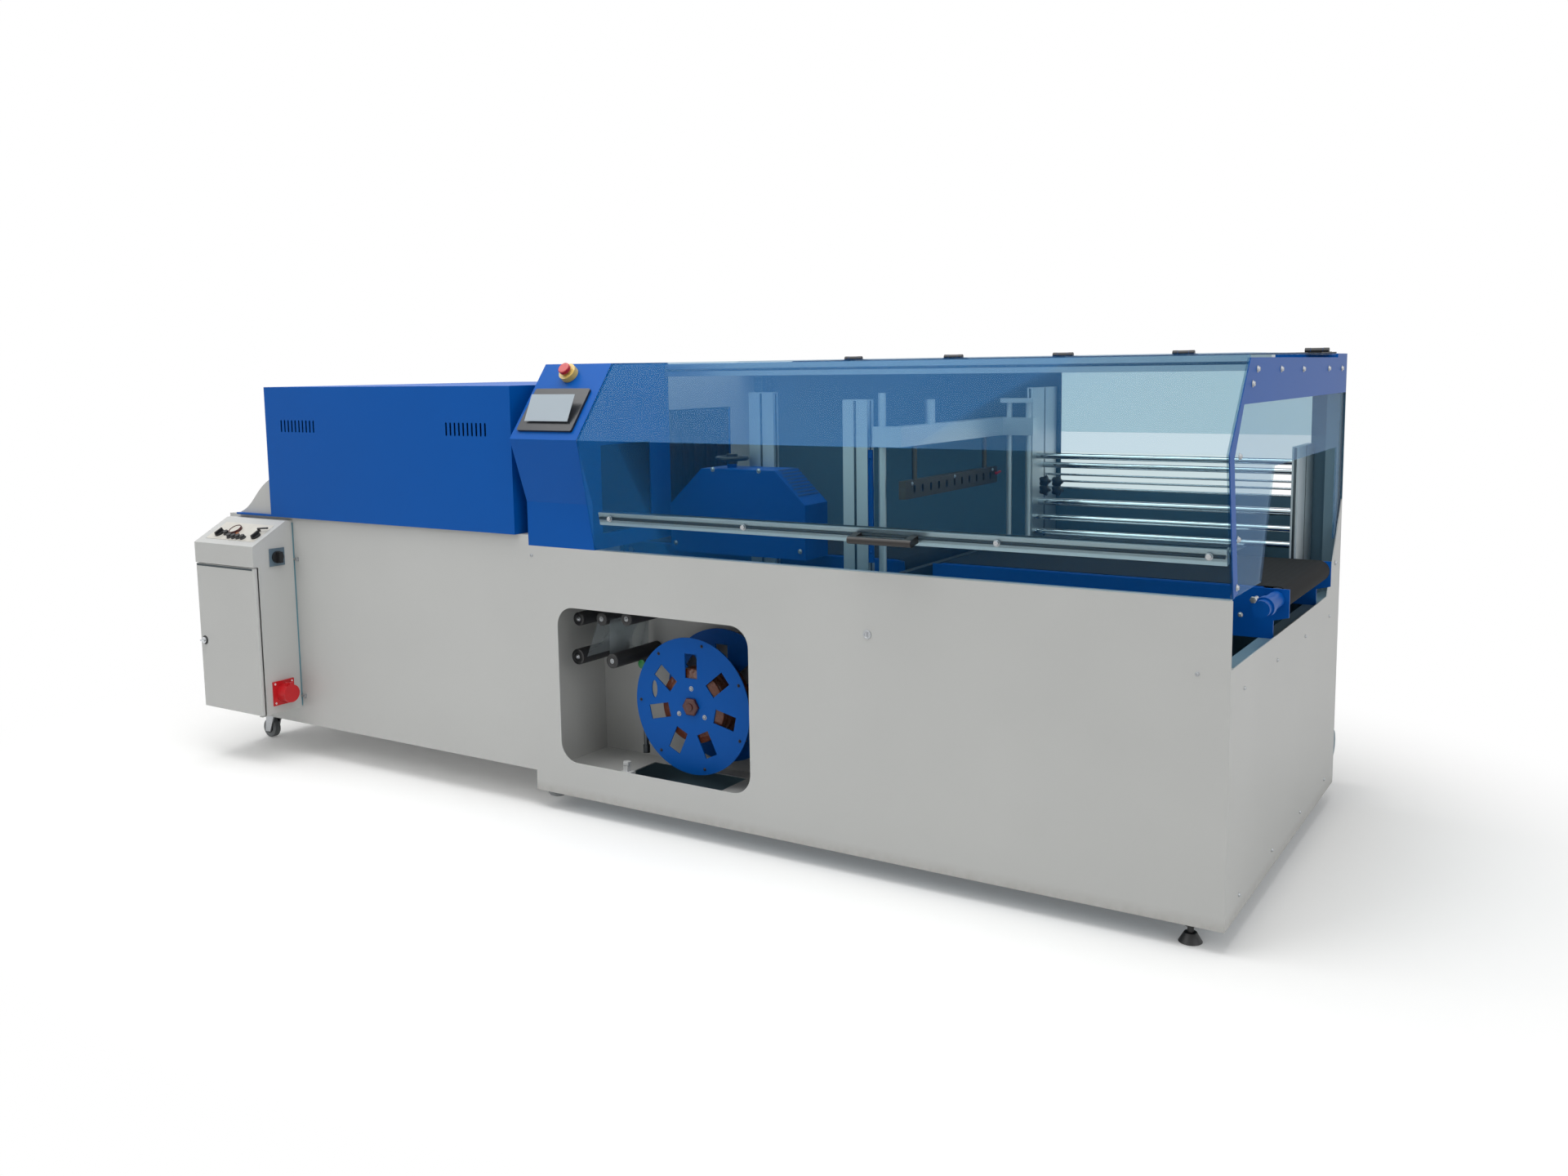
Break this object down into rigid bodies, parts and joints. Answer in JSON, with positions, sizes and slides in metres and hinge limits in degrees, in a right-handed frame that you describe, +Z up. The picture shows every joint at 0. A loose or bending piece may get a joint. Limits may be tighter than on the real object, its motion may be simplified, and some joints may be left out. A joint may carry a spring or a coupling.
{
  "type": "side sealing machine",
  "caption": "Side sealing machine with a clear hinged hood, film rods, cross and side sealing units and a scrap winder, joined to a conveyor shrink tunnel with an electric box.",
  "frame": {"origin": "on the floor, under the middle of the whole machine's box", "axes": "+X from the tunnel's exit to the sealer's infeed, -Y towards the operator, +Z up"},
  "size_m": [3.85, 1.7632, 1.478],
  "materials": {
    "light_grey_paint": "satin powder coat",
    "blue_paint": "satin powder coat",
    "frame_grey": "satin paint",
    "clear_blue": "clear tinted acrylic",
    "rail_metal": "anodised extrusion",
    "bright_steel": "ground steel",
    "rod_chrome": "hard chrome",
    "belt_black": "matt belt",
    "roller_rubber": "rubber sleeve",
    "black_plastic": "moulded",
    "screen_black": "moulded bezel",
    "yellow_plastic": "moulded",
    "red_plastic": "moulded",
    "curtain_brown": "coated cloth strips",
    "film_clear": "wound clear film",
    "jaw_metal": "coated aluminium",
    "wheel_grey": "caster tread"
  },
  "bodies": {
    "machine": {"sealer_frame": "frame_grey", "sealer_front_panel": "light_grey_paint", "sealer_end_panel": "light_grey_paint", "sealer_rear_panel": "light_grey_paint", "outfeed_side_plate": "light_grey_paint", "winder_bay": "light_grey_paint", "guide_rollers": "roller_rubber", "console_housing": "blue_paint", "touch_panel": "screen_black", "stop_collar": "yellow_plastic", "hood_beam": "blue_paint", "end_shield": "clear_blue", "end_shield_trim": "blue_paint", "rear_shield": "clear_blue", "infeed_frame": "blue_paint", "infeed_belt": "belt_black", "sealing_frame": "blue_paint", "sealing_belt": "belt_black", "tunnel_conveyor_frame": "bright_steel", "tunnel_belt": "belt_black", "inner_posts": "rail_metal", "film_rods": "rod_chrome", "jaw_columns": "rod_chrome", "cradle_frame": "frame_grey", "tunnel_base": "light_grey_paint", "tunnel_housing": "blue_paint", "tunnel_curtains": "curtain_brown", "exit_guards": "light_grey_paint", "box_body": "light_grey_paint", "power_socket": "red_plastic", "levelling_feet": "black_plastic"},
    "hood_door": {"door_hinges": "black_plastic", "door_shield": "clear_blue", "door_rails": "rail_metal", "door_handle": "black_plastic"},
    "emergency_stop_button": {"stop_button": "red_plastic"},
    "reel": {"scrap_reel": "blue_paint"},
    "dancer": {"dancer_arm": "bright_steel"},
    "infeed_roller": {"infeed_drive_roller": "bright_steel"},
    "sealing_roller": {"sealing_drive_roller": "bright_steel"},
    "tunnel_roller": {"tunnel_drive_roller": "bright_steel"},
    "side_seal_unit": {"side_seal_housing": "blue_paint"},
    "handwheel": {"side_seal_handwheel": "black_plastic"},
    "upper_jaw": {"cross_beam": "rail_metal", "cross_jaw_upper": "jaw_metal"},
    "lower_jaw": {"cross_jaw_lower": "jaw_metal"},
    "cradle_roller_near": {"cradle_front_roller": "rod_chrome"},
    "cradle_roller_far": {"cradle_rear_roller": "rod_chrome"},
    "film": {"film_roll": "film_clear"},
    "fan": {"circulation_fan": "bright_steel"},
    "electric_box_door": {"box_door": "light_grey_paint"},
    "door_lock": {"box_lock": "rod_chrome"},
    "main_switch": {"main_switch_handle": "black_plastic"},
    "inlet_lid": {"socket_lid": "red_plastic"},
    "knob_left": {"panel_knob_left": "black_plastic"},
    "knob_right": {"panel_knob_right": "black_plastic"},
    "caster_front": {"front_caster_fork": "bright_steel"},
    "caster_front_wheel": {"front_caster_wheel": "wheel_grey"},
    "caster_rear": {"rear_caster_fork": "bright_steel"},
    "caster_rear_wheel": {"rear_caster_wheel": "wheel_grey"}
  },
  "joints": [
    {"name": "door_swing", "type": "hinge", "parent": "machine", "child": "hood_door", "pos_m": [0, 0.51165, 1.47], "axis": [-1, 0, 0], "range_deg": [0, 70]},
    {"name": "stop_press", "type": "slide", "parent": "machine", "child": "emergency_stop_button", "axis": [0, 0.7943, -0.6076], "range_m": [0, 0.005], "stiffness_N_per_m": 2000},
    {"name": "reel_spin", "type": "hinge", "parent": "machine", "child": "reel", "pos_m": [0.227, 0, 0.391], "axis": [0, 1, 0], "continuous": true},
    {"name": "dancer_swing", "type": "hinge", "parent": "machine", "child": "dancer", "pos_m": [-0.01, 0, 0.49], "axis": [0, 1, 0], "range_deg": [-20, 15]},
    {"name": "infeed_roller_turn", "type": "hinge", "parent": "machine", "child": "infeed_roller", "pos_m": [1.891, 0, 0.808], "axis": [0, 1, 0], "continuous": true},
    {"name": "sealing_roller_turn", "type": "hinge", "parent": "machine", "child": "sealing_roller", "pos_m": [-0.309, 0, 0.808], "axis": [0, 1, 0], "continuous": true},
    {"name": "tunnel_roller_turn", "type": "hinge", "parent": "machine", "child": "tunnel_roller", "pos_m": [-1.891, 0, 0.808], "axis": [0, 1, 0], "continuous": true},
    {"name": "side_seal_lift", "type": "slide", "parent": "machine", "child": "side_seal_unit", "axis": [0, 0, 1], "range_m": [-0.015, 0.045]},
    {"name": "side_seal_wheel_turn", "type": "hinge", "parent": "side_seal_unit", "child": "handwheel", "pos_m": [0.205, -0.32135, 1.12], "axis": [0, 0, 1], "range_deg": [-540, 1620]},
    {"name": "cross_seal_upper", "type": "slide", "parent": "machine", "child": "upper_jaw", "axis": [0, 0, -1], "range_m": [0, 0.19]},
    {"name": "cross_seal_lower", "type": "slide", "parent": "machine", "child": "lower_jaw", "axis": [0, 0, 1], "range_m": [0, 0.029]},
    {"name": "film_roll_turn", "type": "hinge", "parent": "machine", "child": "film", "pos_m": [0, 0.77865, 0.25323], "axis": [1, 0, 0], "continuous": true},
    {"name": "cradle_front_turn", "type": "hinge", "parent": "machine", "child": "cradle_roller_near", "pos_m": [0, 0.72365, 0.144], "axis": [1, 0, 0], "continuous": true},
    {"name": "cradle_rear_turn", "type": "hinge", "parent": "machine", "child": "cradle_roller_far", "pos_m": [0, 0.83365, 0.144], "axis": [1, 0, 0], "continuous": true},
    {"name": "fan_spin", "type": "hinge", "parent": "machine", "child": "fan", "pos_m": [-1.0115, 0.11165, 1.298], "axis": [0, 0, 1], "continuous": true},
    {"name": "box_door_swing", "type": "hinge", "parent": "machine", "child": "electric_box_door", "pos_m": [-1.546, -0.85765, 0], "axis": [0, 0, 1], "range_deg": [0, 110]},
    {"name": "box_lock_turn", "type": "hinge", "parent": "electric_box_door", "child": "door_lock", "pos_m": [-1.854, -0.86665, 0.447], "axis": [0, 1, 0], "range_deg": [0, 90]},
    {"name": "main_switch_turn", "type": "hinge", "parent": "machine", "child": "main_switch", "pos_m": [-1.535, -0.77135, 0.772], "axis": [1, 0, 0], "range_deg": [0, 90]},
    {"name": "socket_lid_lift", "type": "hinge", "parent": "machine", "child": "inlet_lid", "pos_m": [-1.493, -0.77535, 0.302], "axis": [0, -1, 0], "range_deg": [0, 110], "stiffness_Nm_per_rad": 0.1},
    {"name": "knob_left_turn", "type": "hinge", "parent": "machine", "child": "knob_left", "pos_m": [-1.796, -0.81581, 0.84898], "axis": [0, -0.4831, 0.8756], "range_deg": [-135, 135]},
    {"name": "knob_right_turn", "type": "hinge", "parent": "machine", "child": "knob_right", "pos_m": [-1.582, -0.81581, 0.84898], "axis": [0, -0.4831, 0.8756], "range_deg": [-135, 135]},
    {"name": "caster_front_swivel", "type": "hinge", "parent": "machine", "child": "caster_front", "pos_m": [-1.855, -0.58335, 0.126], "axis": [0, 0, 1], "continuous": true},
    {"name": "caster_front_roll", "type": "hinge", "parent": "caster_front", "child": "caster_front_wheel", "pos_m": [-1.88, -0.58335, 0.0375], "axis": [0, 1, 0], "continuous": true},
    {"name": "caster_rear_swivel", "type": "hinge", "parent": "machine", "child": "caster_rear", "pos_m": [-1.855, 0.46665, 0.126], "axis": [0, 0, 1], "continuous": true},
    {"name": "caster_rear_roll", "type": "hinge", "parent": "caster_rear", "child": "caster_rear_wheel", "pos_m": [-1.88, 0.46665, 0.0375], "axis": [0, 1, 0], "continuous": true}
  ],
  "couplings": [
    {"joint": "side_seal_wheel_turn", "follows": "side_seal_lift", "rad_per_m": 628.32},
    {"joint": "cross_seal_lower", "follows": "cross_seal_upper", "ratio": 0.15263},
    {"joint": "cradle_front_turn", "follows": "film_roll_turn", "ratio": -4.5454},
    {"joint": "cradle_rear_turn", "follows": "film_roll_turn", "ratio": -4.5454}
  ]
}
